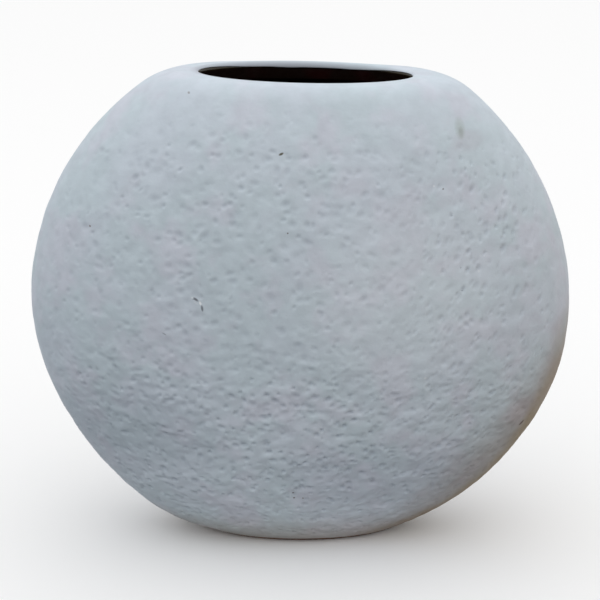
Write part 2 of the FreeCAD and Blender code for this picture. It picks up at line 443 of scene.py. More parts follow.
@dataclass(frozen=True)
class LipPath:
    """The way over the lip: a ball of the lip's radius lies in the corner of crown and mouth wall.

    Its surface is followed from the crown to its top, and then down into the mouth by arc length.
    """

    skin: Skin
    radius: float

    def slopes(self, places: np.ndarray) -> np.ndarray:
        """How fast the crown rises along x and y: its fall over the reach, times the reach's own slope."""
        squash = self.skin.squash
        reach = np.hypot(places[..., 0], places[..., 1] / squash)
        fall = -math.tan(self.skin.form.crown_slope) / reach
        return np.stack([fall * places[..., 0], fall * places[..., 1] / squash ** 2], axis=-1)

    def middle(self) -> np.ndarray:
        """The ball's centre for each angle: a radius outside the mouth and a radius under the crown."""
        places, _ = self.skin.mouth(self.skin.depth + self.radius)
        steep = np.linalg.norm(self.slopes(places), axis=-1)
        return raised(places, self.skin.crown_level(places) - self.radius * np.sqrt(1.0 + steep ** 2))

    def top(self) -> np.ndarray:
        """The level of the lip's top for each angle."""
        return self.middle()[..., 2] + self.radius

    def onto(self, count: int) -> np.ndarray:
        """Rings from where the ball leaves the crown to its top.

        Args:
            count: the number of rings.

        Returns:
            The centre plus the radius along a direction that turns from the crown's own to straight up.
        """
        centre = self.middle()
        slopes = self.slopes(centre)
        leave = unit(np.concatenate([-slopes, np.ones(slopes.shape[:-1] + (1,))], axis=-1))
        shares = np.linspace(0.0, 1.0, count)[:, None, None]
        upright = np.array([0.0, 0.0, 1.0])
        return centre + self.radius * unit(blend(leave, upright, shares))

    def down(self, drop: np.ndarray, count: int) -> np.ndarray:
        """Rings down from the lip's top: a quarter round of the ball, and then straight down.

        Args:
            drop: how far under the top the last ring lies, for each angle.
            count: the number of rings.

        Returns:
            The rings, in even steps of the length walked.
        """
        centre = self.middle()
        _, away = self.skin.mouth(0.0)
        within = np.minimum(drop, self.radius)
        round_part = self.radius * np.arccos(1.0 - within / self.radius)
        length = round_part + np.maximum(drop - self.radius, 0.0)
        walked = np.linspace(0.0, 1.0, count + 1)[1:, None] * length
        turn = np.minimum(walked / self.radius, math.pi / 2)
        past = np.maximum(walked - self.radius * math.pi / 2, 0.0)
        sideways = -self.radius * np.sin(turn)
        level = centre[..., 2] + self.radius * np.cos(turn) - past
        return raised(centre[..., :2] + sideways[..., None] * away, level)


def placed(name: str, data: bpy.types.ID) -> bpy.types.Object:
    """A new object in the scene."""
    made = bpy.data.objects.new(name, data)
    bpy.context.scene.collection.objects.link(made)
    return made


class Shell:
    """A mesh object made from rings of points."""

    def __init__(self, name: str) -> None:
        """Keeps the object's name."""
        self.name = name

    def build(
        self,
        points: np.ndarray,
        faces: list[np.ndarray],
        caps: list[list[int]],
        material: bpy.types.Material,
        normals: np.ndarray | None = None,
        hollow: np.ndarray | None = None,
    ) -> bpy.types.Object:
        """The object, with its faces turned outward.

        Args:
            points: every vertex, in millimetres.
            faces: arrays of vertex numbers, one row for each face, triangles or quads.
            caps: faces with any number of corners.
            material: the only material.
            normals: one shading direction for each vertex, or none for those of the faces.
            hollow: how deep in a pit each vertex lies, from 0 to 1, kept as an attribute with which the
                material paints shade into the pits.

        Returns:
            The linked object.
        """
        polygons = [row for block in faces for row in block.tolist()] + caps
        if self.volume(points, faces, caps) < 0:
            polygons = [row[::-1] for row in polygons]
        mesh = bpy.data.meshes.new(self.name)
        mesh.from_pydata((points * METRES).tolist(), [], polygons)
        mesh.materials.append(material)
        mesh.shade_smooth()
        if normals is not None:
            mesh.normals_split_custom_set_from_vertices(normals.tolist())
        if hollow is not None:
            kept = mesh.attributes.new("hollow", "FLOAT", "POINT")
            kept.data.foreach_set("value", hollow.astype(np.float32))
        mesh.update()
        piece = placed(self.name, mesh)
        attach(piece, "root")
        LOG.info("%s: %d vertices, %d faces", self.name, len(points), len(polygons))
        return piece

    @staticmethod
    def volume(points: np.ndarray, faces: list[np.ndarray], caps: list[list[int]]) -> float:
        """Six times the volume inside the faces: the sum of the triple products of their triangles.

        Args:
            points: every vertex.
            faces: arrays of vertex numbers, one row for each face.
            caps: faces with any number of corners.

        Returns:
            The sum, which is below zero when the faces look inward.
        """
        blocks = [points[block] for block in faces] + [points[np.array(cap)][None] for cap in caps]
        total = 0.0
        for block in blocks:
            for i in range(1, block.shape[1] - 1):
                total += np.einsum("ij,ij->", block[:, 0], np.cross(block[:, i], block[:, i + 1]))
        return total

    @staticmethod
    def grid(rows: int, columns: int, round_rows: bool, round_columns: bool) -> np.ndarray:
        """Quads between the points of a grid.

        Args:
            rows: how many rows of points it has.
            columns: how many points a row has.
            round_rows: whether the last row meets the first.
            round_columns: whether the last point of a row meets the first.

        Returns:
            Four vertex numbers for each quad.
        """
        i = np.arange(rows if round_rows else rows - 1)[:, None]
        j = np.arange(columns if round_columns else columns - 1)[None, :]
        row, after_row = i * columns, (i + 1) % rows * columns
        after = (j + 1) % columns
        corners = [row + j, row + after, after_row + after, after_row + j]
        return np.stack(corners, axis=-1).reshape(-1, 4)

    @staticmethod
    def fan(ring: np.ndarray, pole: int, forward: bool) -> np.ndarray:
        """Triangles that close a ring of points with one point.

        Args:
            ring: the vertex numbers of the ring.
            pole: the vertex number of the one point.
            forward: whether the triangles run the ring's way round.

        Returns:
            Three vertex numbers for each triangle.
        """
        after = np.roll(ring, -1)
        first, second = (ring, after) if forward else (after, ring)
        return np.stack([first, second, np.full(len(ring), pole)], axis=-1)

    @staticmethod
    def capped(
        rings: np.ndarray, low_pole: np.ndarray, high_pole: np.ndarray
    ) -> tuple[np.ndarray, list[np.ndarray]]:
        """A closed surface from closed rings and a point beyond each end.

        Args:
            rings: an array of rings, points and coordinates.
            low_pole: the point before the first ring.
            high_pole: the point after the last ring.

        Returns:
            Every vertex, and the blocks of faces.
        """
        rows, columns = rings.shape[:2]
        points = np.concatenate([rings.reshape(-1, 3), [low_pole, high_pole]])
        first, last = np.arange(columns), np.arange(columns) + (rows - 1) * columns
        faces = [
            Shell.grid(rows, columns, False, True),
            Shell.fan(first, rows * columns, False),
            Shell.fan(last, rows * columns + 1, True),
        ]
        return points, faces


def grid_normals(points: np.ndarray) -> np.ndarray:
    """The direction across a grid of points at each of them, from its neighbours along rows and columns."""
    return unit(np.cross(np.gradient(points, axis=1), np.gradient(points, axis=0)))


@dataclass(frozen=True)
class Lobe:
    """A slow swelling or hollow of the outline: its angle on the broad face, height and spread."""

    angle: float
    height: float
    spread: float


@dataclass(frozen=True)
class Relief:
    """How far the coat's surface lies from the plain form, in millimetres."""

    lobes: tuple[Lobe, ...] = (
        Lobe(-150.0, -1.0, 15.0),
        Lobe(-117.0, 1.0, 14.0),
        Lobe(-74.0, -0.6, 11.0),
        Lobe(-14.0, 0.75, 16.0),
        Lobe(27.0, -0.6, 17.0),
        Lobe(57.0, 0.7, 9.0),
        Lobe(66.0, 0.5, 6.0),
        Lobe(113.0, 0.45, 8.0),
        Lobe(122.0, 0.35, 9.0),
        Lobe(179.0, 0.5, 11.0),
    )
    swell: Wave = Wave(0.16, (34.0, 34.0, 34.0), 0)
    ripple: Wave = Wave(0.46, (6.0, 6.0, 6.0), 1)
    ridge: Wave = Wave(0.3, (3.0, 3.0, 2.1), 1)
    patches: Wave = Wave(0.18, (22.0, 22.0, 22.0), 5)
    warps: tuple[Wave, ...] = tuple(Wave(1.2, (6.0, 6.0, 6.0), channel) for channel in (2, 3, 4))
    round_pits: Pits = Pits(0.62, (5.0, 5.0, 4.2), 0.7, 0.26, 0.58)
    worm_pits: Pits = Pits(1.12, (4.6, 4.6, 3.3), 0.85)
    slant_pits: Pits = Pits(0.72, (3.6, 4.4, 5.4), 0.78)
    slant: float = math.radians(28.0)
    patch_level: float = 0.8
    deepest: float = 1.3
    seed: int = 7

    # Where each part of the vase begins: levels and distances in millimetres, or shares of the half width.
    above_foot: Fade = Fade(1.5, 7.0)
    foot_calm: Fade = Fade(14.0, 34.0)
    lobed: Fade = Fade(0.35, 0.8)
    off_lip: Fade = Fade(44.0, 54.0)
    crown_from: float = 150.0
    band_level: float = 190.0
    band_fall: float = 13.0
    band_reach: float = 75.0
    band_blend: Fade = Fade(-18.0, 5.0)
    upper_part: Fade = Fade(74.0, 104.0)
    right_part: Fade = Fade(16.0, 62.0)
    side_part: Fade = Fade(74.0, 100.0)
    rim_part: Fade = Fade(0.88, 0.98)
    rim_end: Fade = Fade(150.0, 175.0)

    # The share of its strength that relief loses at the rim, on the right and at both sides.
    rim_calm: float = 0.6
    right_calm: float = 0.25
    side_calm: float = 0.45

    # The share that it keeps: slanting pits low down, wormy ones at the foot, ridges and ripples high up.
    slant_low: float = 0.7
    worm_foot: float = 0.8
    ridge_high: float = 0.35
    ripple_high: float = 0.6

    @cached_property
    def noise(self) -> LatticeNoise:
        """The random numbers of the relief and of the coat's wavy ends."""
        return LatticeNoise(self.seed)

    def heights(
        self, points: np.ndarray, outward: np.ndarray, form: VaseForm
    ) -> tuple[np.ndarray, np.ndarray]:
        """The relief of the coat's outside: its slow form, its ripples and ridges, and its pits.

        Args:
            points: places on the plain form, in millimetres.
            outward: the surface's direction at each place.
            form: the vase's sizes.

        Returns:
            The height at each place, never as low as the clay, and how deep in a pit it lies, from 0 to 1.
        """
        slow = self.slow_form(points, form)
        fine, hollow = self.texture(points, outward, form)
        shaded = np.clip(hollow / self.round_pits.depth, 0.0, 1.0)
        return np.maximum(slow + fine - hollow, -self.deepest), shaded

    def slow_form(self, points: np.ndarray, form: VaseForm) -> np.ndarray:
        """The lobes of the outline, each a bell curve of the angle on the broad face, and the swell.

        Args:
            points: places on the plain form.
            form: the vase's sizes.

        Returns:
            The height at each place. It fades out at the foot's edge and at the lip.
        """
        x, y, z = np.moveaxis(points, -1, 0)
        up = z - form.belly
        angle = np.degrees(np.arctan2(up, x))
        height = np.zeros(x.shape)
        for lobe in self.lobes:
            apart = (angle - lobe.angle + 180.0) % 360.0 - 180.0
            height += lobe.height * np.exp(-((apart / lobe.spread) ** 2))
        height *= self.lobed.at(np.hypot(x, up) / (form.width / 2))
        height += self.noise.smooth(points, self.swell)
        reach = np.hypot(x, y * form.width / form.depth)
        clear = np.where(z > self.crown_from, self.off_lip.at(reach), 1.0)
        return height * clear * self.above_foot.at(z)

    def texture(
        self, points: np.ndarray, outward: np.ndarray, form: VaseForm
    ) -> tuple[np.ndarray, np.ndarray]:
        """Ripples, ridges and pits: round pits above, wormy ones below, slanting ones to the right.

        Args:
            points: places on the plain form.
            outward: the surface's direction at each place.
            form: the vase's sizes.

        Returns:
            The height of ripples and ridges, and the depth of the pits. Both fade out at the foot's edge
            and in the smooth band round the mouth, and are weaker at the rim of the broad face.
        """
        x, _, z = np.moveaxis(points, -1, 0)
        warped = points + np.stack([self.noise.smooth(points, warp) for warp in self.warps], axis=-1)
        band = self.band_level - self.band_fall * np.minimum(np.abs(x) / self.band_reach, 1.0) ** 2
        outer = np.hypot(x, z - form.belly) / (form.width / 2)
        calm = 1.0 - self.rim_calm * self.rim_part.at(outer) * (1.0 - self.rim_end.at(z))
        share = (1.0 - self.band_blend.at(z - band)) * self.above_foot.at(z) * calm
        low = 1.0 - self.upper_part.at(z)
        across = self.right_part.at(x)
        right = across * blend(1.0, self.slant_low, low)
        smoother = 1.0 - self.right_calm * across
        middle = 1.0 - self.side_calm * self.side_part.at(np.abs(x))
        wormy = low * smoother * blend(self.worm_foot, 1.0, self.foot_calm.at(z))
        hollow = self.noise.pitted(warped, outward, self.round_pits) * (1.0 - low) * (1.0 - right)
        hollow += self.noise.pitted(warped, outward, self.worm_pits) * wormy
        hollow += self.noise.pitted(self.slanted(warped), self.slanted(outward), self.slant_pits) * right
        hollow *= middle * (self.patch_level + self.noise.smooth(points, self.patches)) * share
        ridges = self.noise.smooth(warped, self.ridge) * blend(self.ridge_high, 1.0, low) * smoother
        ripples = self.noise.smooth(warped, self.ripple) * blend(self.ripple_high, 1.0, low)
        return (ridges * middle + ripples) * share, hollow

    def slanted(self, vectors: np.ndarray) -> np.ndarray:
        """Vectors turned about Y, so that upright pits lean over to the right."""
        x, y, z = np.moveaxis(vectors, -1, 0)
        across = x * math.cos(self.slant) - z * math.sin(self.slant)
        rising = x * math.sin(self.slant) + z * math.cos(self.slant)
        return np.stack([across, y, rising], axis=-1)


class Bench:
    """The nodes of one material or world, which start out empty."""

    # A size so large that dividing by it takes an axis out of a pattern.
    ENDLESS = 1e6

    # The inputs of a mixing node for the colour below and the one above, and its output for a colour.
    BELOW = 6
    ABOVE = 7
    MIXED = 2

    def __init__(self, tree: bpy.types.NodeTree) -> None:
        """Clears the tree and keeps it."""
        self.tree = tree
        tree.nodes.clear()

    def add(
        self, kind: str, inputs: Inputs = (), output: int | str = 0, **settings: object
    ) -> Socket | None:
        """Adds one node with its settings and links.

        Args:
            kind: the node's type, without ShaderNode.
            inputs: a value or a socket for each input in turn, or by its name or number.
            output: the name or number of the output that is wanted.
            settings: the node's own properties.

        Returns:
            The wanted output, or None where the node has none.
        """
        node = self.tree.nodes.new(f"ShaderNode{kind}")
        for key, value in settings.items():
            setattr(node, key, value)
        for key, value in inputs.items() if isinstance(inputs, dict) else enumerate(inputs):
            if isinstance(value, Socket):
                self.tree.links.new(value, node.inputs[key])
            else:
                node.inputs[key].default_value = value
        return node.outputs[output] if node.outputs else None


class Paintwork(Bench):
    """The nodes of one new material, in the object's own coordinates."""

    def __init__(self, name: str) -> None:
        """Makes the material and takes the coordinates."""
        self.material = bpy.data.materials.new(name)
        self.material.use_nodes = True
        super().__init__(self.material.node_tree)
        self.places = self.add("TexCoord", output="Object")

    def painted(self, colour: Value, layers: list[tuple[Socket, str]]) -> Value:
        """A colour with layers painted over it.

        Args:
            colour: what lies at the bottom.
            layers: the share in which each layer covers what is under it, and its colour as sRGB hex.

        Returns:
            The colour on top.
        """
        for share, paint in layers:
            inputs = {0: share, self.BELOW: colour, self.ABOVE: linear(paint)}
            colour = self.add("Mix", inputs, self.MIXED, data_type="RGBA")
        return colour

    def finished(self, shader: Socket) -> bpy.types.Material:
        """The material, with a shader put out by it."""
        self.add("OutputMaterial", {"Surface": shader})
        return self.material


def per_metre(size: float) -> float:
    """The scale of a pattern whose spots are one size in millimetres."""
    return 1.0 / (size * METRES)


@dataclass(frozen=True)
class Cloud:
    """A soft pattern in space: the size of its spots in millimetres, its octaves, and its fade.

    Where the pattern goes from low to high, its share goes from least to most.
    """

    size: float
    detail: float = 2.0
    low: float = 0.3
    high: float = 0.7
    least: float = 0.0
    most: float = 1.0

    def drawn(self, places: Socket) -> Inputs:
        """The inputs with which the pattern is drawn."""
        return {"Vector": places, "Scale": per_metre(self.size), "Detail": self.detail}

    def share(self, work: Paintwork) -> Socket:
        """The share at each place."""
        noise = work.add("TexNoise", self.drawn(work.places), "Fac")
        return work.add("MapRange", (noise, self.low, self.high, self.least, self.most))


@dataclass(frozen=True)
class Edge:
    """A soft, ragged edge across a distance, with all lengths in millimetres.

    The pattern of a cloud, times ragged, is added to the distance. From start to full, the share then goes
    from first to last.
    """

    start: float
    full: float
    cloud: Cloud
    ragged: float
    first: float = 0.0
    last: float = 1.0
    curve: str = "LINEAR"

    def share(self, work: Paintwork, distance: Socket, shift: float = 0.0) -> Socket:
        """The share at each place.

        Args:
            work: the material's nodes.
            distance: the distance at each place, in metres.
            shift: how much farther off the edge lies.

        Returns:
            The share.
        """
        noise = work.add("TexNoise", self.cloud.drawn(work.places), "Fac")
        uneven = work.add("Math", (noise, self.ragged * METRES, distance), operation="MULTIPLY_ADD")
        start, full = ((end + shift) * METRES for end in (self.start, self.full))
        fade = (uneven, start, full, self.first, self.last)
        return work.add("MapRange", fade, interpolation_type=self.curve)


@dataclass(frozen=True)
class Mark:
    """A mark or patch of the coat on the photographed face: an oval with a soft edge.

    Its half sizes are in millimetres and its turn in degrees. Its strength falls off between two squared
    distances, counted in half sizes: SOLID and soft.
    """

    SOLID = 0.4

    x: float
    z: float
    across: float
    tall: float
    colour: str
    strength: float = 1.0
    turn: float = 0.0
    soft: float = 1.6

    def share(self, work: Paintwork, near_face: Socket) -> Socket:
        """How strongly it covers each place: most inside its oval, and not on the far face.

        Args:
            work: the material's nodes.
            near_face: one on the photographed face.

        Returns:
            The share of the mark's colour.
        """
        centred = {
            "Vector": work.places,
            "Location": (self.x * METRES, 0.0, self.z * METRES),
            "Rotation": (0.0, -math.radians(self.turn), 0.0),
            "Scale": (self.across * METRES, Bench.ENDLESS, self.tall * METRES),
        }
        local = work.add("Mapping", centred, vector_type="TEXTURE")
        squares = work.add("VectorMath", (local, local), "Value", operation="DOT_PRODUCT")
        inside = work.add("MapRange", (squares, self.SOLID, self.soft, self.strength, 0.0))
        return work.add("Math", (inside, near_face), operation="MULTIPLY")


@dataclass(frozen=True)
class CoatFinish:
    """Thick white slip, brushed on and fired matt.

    Slip is thin clay. Fired without glaze it scatters light evenly and mirrors nothing, so the eye sees soft
    shade in every pit, and more shade is painted into the pits. Fire and brush leave it cool in some places
    and faintly violet in others, and where it is wiped thin above the foot the brown clay warms it. A warm
    reflection of the floor at the lower right, grey shade inside the lip and broad patches of light and shade
    are painted into its colour as well. Its real grain of about 0.05 mm is too fine to show, and is drawn 1.1
    and 3 mm wide.
    """

    cool: str = "#C9D6DE"
    plain: str = "#CCD6E0"
    violet: str = "#CED4DF"
    # The colour of the shade painted into the pits.
    hollow: str = "#929BA8"
    thin: str = "#A08A6E"
    # The painted warm reflection of the floor at the lower right, and its golden rim.
    floor_reflection: str = "#917F70"
    rim_reflection: str = "#8E7644"
    # The grey shade painted inside the lip.
    lip: str = "#9A9DA6"
    plain_cloud: Cloud = Cloud(30.0, 3.0, 0.42, 0.6)
    violet_cloud: Cloud = Cloud(18.0, 3.0, 0.5, 0.66)
    mottle: Cloud = Cloud(5.5, 4.0, 0.35, 0.65, 0.95, 1.022)
    roughness: Cloud = Cloud(4.0, least=0.57, most=0.68)
    specular: float = 0.35
    grain: Cloud = Cloud(1.1, 3.0)
    coarse_grain: Cloud = Cloud(3.1)
    coarse_weight: float = 1.6
    grain_strength: float = 0.35
    grain_height: float = 0.12

    # Thin places and painted light: wiped thin just above the foot, a painted warm reflection of the floor at
    # the lower right, strongest along the rim there, and painted grey shade on the lip inside the mouth.
    wiped: Edge = Edge(-1.5, 15.0, Cloud(7.0, 3.0), -5.0, 0.5, 0.0)
    corner_angle: float = math.radians(-41.0)
    corner_centre: tuple[float, float, float] = (3.0, 0.0, 101.0)
    warm_side: Edge = Edge(88.0, 103.0, Cloud(18.0, 4.0), 14.0, 0.0, 0.52)
    rim_edge: Edge = Edge(99.5, 106.5, Cloud(11.0, 3.0), 6.0, curve="SMOOTHSTEP")
    rim_side: Edge = Edge(82.0, 108.0, Cloud(11.0, 3.0), 12.0)
    rim_depth: tuple[float, float] = (-6.0, 14.0)
    rim_shares: tuple[float, float] = (0.64, 0.1)
    # How the painted shade in the pits grows with their depth.
    pit_shade_fade: Span = (0.05, 0.9, 0.0, 0.32)
    lip_fade: Span = (0.8, 1.02, 0.75, 0.0)
    lip_oval: tuple[float, float] = (44.2, 20.2)
    lip_above: float = 150.0
    # The first three patches are painted light and shade on the broad face: lighter right of the middle,
    # darker at the lower left and low in the middle.
    patches: tuple[Mark, ...] = (
        Mark(39.0, 116.0, 26.0, 24.0, "#EEF5FC", 0.22, 0.0, 3.0),
        Mark(-66.0, 56.0, 26.0, 13.0, "#8E98A4", 0.26, 0.0, 3.0),
        Mark(32.0, 38.0, 28.0, 12.0, "#868FA0", 0.2, 0.0, 3.0),
        Mark(65.0, 173.5, 4.6, 2.8, "#B4AEB8", 0.28, 0.0, 2.8),
    )
    marks: tuple[Mark, ...] = (
        Mark(-7.4, 172.2, 0.95, 0.42, "#5F5D53", 1.0, 24.0),
        Mark(-4.9, 143.0, 0.3, 0.3, "#7B7778"),
        Mark(-43.3, 192.2, 0.45, 0.4, "#9A9A9C", 0.8),
        Mark(-82.6, 140.4, 0.35, 0.4, "#8A8684"),
        Mark(-3.0, 30.6, 0.4, 0.35, "#6B6767"),
        Mark(-2.6, 27.9, 0.45, 0.35, "#6B6767"),
        Mark(1.0, 27.9, 0.35, 0.3, "#75716F"),
        Mark(62.0, 178.4, 1.1, 2.2, "#98A397", 0.36, 12.0, 4.4),
        Mark(62.4, 177.0, 0.6, 1.2, "#8B9088", 0.3, 8.0, 4.0),
        Mark(90.5, 53.8, 1.3, 0.5, "#4E3C34", 0.85, 38.0),
        # A chip drawn only in colour: its dark strokes are painted shade, and its white and pale spots are
        # painted highlights.
        Mark(-40.6, 116.0, 1.0, 0.42, "#5F636A", 0.8, -34.0, 1.9),
        Mark(-41.0, 116.1, 0.9, 0.25, "#70757C", 0.7, 2.0),
        Mark(-38.2, 112.6, 0.42, 1.1, "#62666D", 0.8, 8.0, 1.9),
        Mark(-38.9, 114.6, 0.42, 0.75, "#F0F4F8", 1.0, 22.0),
        Mark(-42.1, 116.6, 0.4, 0.35, "#E2E8ED", 0.7),
        Mark(-40.6, 114.6, 1.1, 0.28, "#D5DCE3", 0.7, -34.0),
        Mark(-53.3, 101.2, 0.9, 0.25, "#7F868E", 0.6, -28.0),
        Mark(55.1, 157.5, 0.3, 0.3, "#757274", 0.9),
        Mark(49.1, 82.8, 0.5, 0.4, "#E4E9EE", 0.7),
        Mark(69.7, 124.5, 0.4, 0.5, "#E4E9EE", 0.6),
        Mark(51.5, 158.8, 0.4, 0.4, "#E4E9EE", 0.6),
    )

    def material(self) -> bpy.types.Material:
        """The coat's material: its tones, then painted shade in the pits, its wiped foot, a painted warm
        reflection, painted shade in the lip, and its marks and painted patches on top.
        """
        work = Paintwork("white_slip_fired_matt")
        along, level = work.add("SeparateXYZ", (work.places,)).node.outputs[1:]
        near_face = work.add("Math", (along, 0.0), operation="LESS_THAN")
        deep = work.add("Attribute", output="Fac", attribute_name="hollow", attribute_type="GEOMETRY")
        layers = [
            # Painted shade in the pits, darkest where the pits are deepest.
            (work.add("MapRange", (deep, *self.pit_shade_fade)), self.hollow),
            (self.wiped.share(work, level), self.thin),
            (self.painted_warm_reflection(work), self.floor_reflection),
            (self.golden_rim_reflection(work, along), self.rim_reflection),
            (self.painted_lip_shade(work, level), self.lip),
        ]
        for mark in self.patches + self.marks:
            layers.append((mark.share(work, near_face), mark.colour))
        shader = work.add("BsdfPrincipled", {
            "Base Color": work.painted(self.tones(work), layers),
            "Roughness": self.roughness.share(work),
            "Normal": self.grained(work),
            "Specular IOR Level": self.specular,
        })
        return work.finished(shader)

    def tones(self, work: Paintwork) -> Socket:
        """The coat's own colour: cool and plain greys and a violet one in broad patches, lightly mottled.

        Args:
            work: the material's nodes.

        Returns:
            The colour.
        """
        clouds = ((self.plain_cloud, self.plain), (self.violet_cloud, self.violet))
        broad = [(cloud.share(work), paint) for cloud, paint in clouds]
        colour = work.painted(linear(self.cool), broad)
        shade = self.mottle.share(work)
        grey = work.add("CombineColor", (shade, shade, shade))
        inputs = {0: 1.0, work.BELOW: colour, work.ABOVE: grey}
        return work.add("Mix", inputs, work.MIXED, data_type="RGBA", blend_type="MULTIPLY")

    def grained(self, work: Paintwork) -> Socket:
        """The direction of the surface with the slip's grain on it, which is finer than the mesh.

        Args:
            work: the material's nodes.

        Returns:
            The direction.
        """
        fine = work.add("TexNoise", self.grain.drawn(work.places), "Fac")
        coarse = work.add("TexNoise", self.coarse_grain.drawn(work.places), "Fac")
        height = work.add("Math", (coarse, self.coarse_weight, fine), operation="MULTIPLY_ADD")
        distance = self.grain_height * METRES
        return work.add("Bump", {"Strength": self.grain_strength, "Distance": distance, "Height": height})

    def painted_warm_reflection(self, work: Paintwork) -> Socket:
        """How much painted warm reflection of the floor lies beside the lower right edge: the distance that
        way, made ragged.

        Args:
            work: the material's nodes.

        Returns:
            The share of the warm colour.
        """
        way = (math.cos(self.corner_angle), 0.0, math.sin(self.corner_angle))
        far = work.add("VectorMath", (work.places, way), "Value", operation="DOT_PRODUCT")
        return self.warm_side.share(work, far, self.corner_centre[2] * way[2])

    def golden_rim_reflection(self, work: Paintwork, along: Socket) -> Socket:
        """How golden the painted reflection of the floor makes the coat along its outermost edge at the lower
        right.

        The distance from the lower curve's centre gives the edge. The distance to the lower right, as for
        the painted warm reflection beside it, limits it, and it fades out round the seam, toward the far
        face.

        Args:
            work: the material's nodes.
            along: the distance behind the seam.

        Returns:
            The share of the rim's colour.
        """
        turned = {
            "Vector": work.places,
            "Location": tuple(c * METRES for c in self.corner_centre),
            "Rotation": (0.0, -self.corner_angle, 0.0),
            "Scale": (1.0, Bench.ENDLESS, 1.0),
        }
        local = work.add("Mapping", turned, vector_type="TEXTURE")
        away = work.add("VectorMath", (local,), "Value", operation="LENGTH")
        edge = self.rim_edge.share(work, away)
        side = self.rim_side.share(work, work.add("SeparateXYZ", (local,)))
        near, far = (level * METRES for level in self.rim_depth)
        shown = work.add("MapRange", (along, near, far, *self.rim_shares), interpolation_type="SMOOTHSTEP")
        patch = work.add("Math", (edge, side), operation="MULTIPLY")
        return work.add("Math", (patch, shown), operation="MULTIPLY")

    def painted_lip_shade(self, work: Paintwork, level: Socket) -> Socket:
        """How much grey shade is painted on the coat from the lip's top down into the mouth's oval.

        Args:
            work: the material's nodes.
            level: the height above the floor.

        Returns:
            The share of the lip's colour.
        """
        across, along = (size * METRES for size in self.lip_oval)
        inputs = {"Vector": work.places, "Scale": (across, along, Bench.ENDLESS)}
        oval = work.add("Mapping", inputs, vector_type="TEXTURE")
        squares = work.add("VectorMath", (oval, oval), "Value", operation="DOT_PRODUCT")
        inside = work.add("MapRange", (squares, *self.lip_fade))
        above = work.add("Math", (level, self.lip_above * METRES), operation="GREATER_THAN")
        return work.add("Math", (inside, above), operation="MULTIPLY")


@dataclass(frozen=True)
class GlazeFinish:
    """Iron glaze, poured inside and fired to gloss.

    It is a dark glass over brown clay, so the eye sees near black with a sharp shine, and brown where it
    runs thin at its top edge.
    """

    dark: str = "#140B08"
    brown: str = "#42380F"
    red: str = "#22090A"
    red_cloud: Cloud = Cloud(14.0, 2.0, 0.5, 0.7, 0.0, 0.8)
    brown_cloud: Cloud = Cloud(6.0, 3.0, 0.2, 0.5)
    edge_low: float = 193.4
    edge_top: float = 195.4
    roughness: Cloud = Cloud(3.0, least=0.12, most=0.24)
    ior: float = 1.52
    wave: Cloud = Cloud(5.0, 1.0)
    wave_strength: float = 0.25
    wave_height: float = 0.2

    def material(self) -> bpy.types.Material:
        """The lining's material: near black with reddish patches, and brown along the leaned top edge."""
        work = Paintwork("iron_glaze_fired_gloss")
        across, _, level = work.add("SeparateXYZ", (work.places,)).node.outputs
        level = work.add("Math", (across, math.tan(VaseForm.lean), level), operation="MULTIPLY_ADD")
        near_edge = work.add("MapRange", (level, self.edge_low * METRES, self.edge_top * METRES))
        broken = self.brown_cloud.share(work)
        broken = work.add("Math", (near_edge, broken), operation="MULTIPLY")
        layers = [(self.red_cloud.share(work), self.red), (broken, self.brown)]
        shader = work.add("BsdfPrincipled", {
            "Base Color": work.painted(linear(self.dark), layers),
            "Roughness": self.roughness.share(work),
            "Normal": work.add("Bump", {
                "Strength": self.wave_strength,
                "Distance": self.wave_height * METRES,
                "Height": work.add("TexNoise", self.wave.drawn(work.places), "Fac"),
            }),
            "IOR": self.ior,
        })
        return work.finished(shader)


@dataclass(frozen=True)
class ClayFinish:
    """Bare stoneware, wiped, scraped or pressed with a finger.

    Fired stoneware is dull and full of grit, so the eye sees brown with darker grains and the lines of the
    tool, which run along the axis whose pattern is stretched least.
    """

    name: str
    base: str
    dark: str
    grit: str
    scrape: tuple[float, float, float]
    roughness: Cloud
    cloud: Cloud = Cloud(6.0, 4.0, 0.35, 0.65)
    grit_size: float = 1.4
    grit_fade: Span = (0.12, 0.2, 0.6, 0.0)
    line: Cloud = Cloud(0.9)
    sand: Cloud = Cloud(0.6)
    sand_weight: float = 0.8
    relief_strength: float = 0.5
    relief: float = 0.15

    def material(self) -> bpy.types.Material:
        """The clay's material: two browns in clouds, grit on top, and a bump of tool lines and sand."""
        work = Paintwork(self.name)
        grit = {"Vector": work.places, "Scale": per_metre(self.grit_size)}
        grains = work.add("TexVoronoi", grit, "Distance")
        speckled = work.add("MapRange", (grains, *self.grit_fade))
        layers = [(self.cloud.share(work), self.base), (speckled, self.grit)]
        stretched = work.add("Mapping", {"Vector": work.places, "Scale": self.scrape})
        lines = work.add("TexNoise", self.line.drawn(stretched), "Fac")
        sand = work.add("TexNoise", self.sand.drawn(work.places), "Fac")
        shader = work.add("BsdfPrincipled", {
            "Base Color": work.painted(linear(self.dark), layers),
            "Roughness": self.roughness.share(work),
            "Normal": work.add("Bump", {
                "Strength": self.relief_strength,
                "Distance": self.relief * METRES,
                "Height": work.add("Math", (sand, self.sand_weight, lines), operation="MULTIPLY_ADD"),
            }),
        })
        return work.finished(shader)


FOOT_CLAY = ClayFinish(
    "brown_stoneware_wiped",
    "#6F4F38", "#54392A", "#3B2A20",
    (1.0, 6.0, 6.0),
    Cloud(3.0, least=0.74, most=0.86),
)
WALL_CLAY = ClayFinish(
    "brown_stoneware_scraped",
    "#7A563C", "#5E412E", "#40291C",
    (6.0, 6.0, 1.0),
    Cloud(3.0, least=0.78, most=0.9),
)
COIL_CLAY = ClayFinish(
    "brown_stoneware_finger_pressed",
    "#70503A", "#54392A", "#3B2A20",
    (2.0, 2.0, 2.0),
    Cloud(3.0, least=0.8, most=0.92),
)


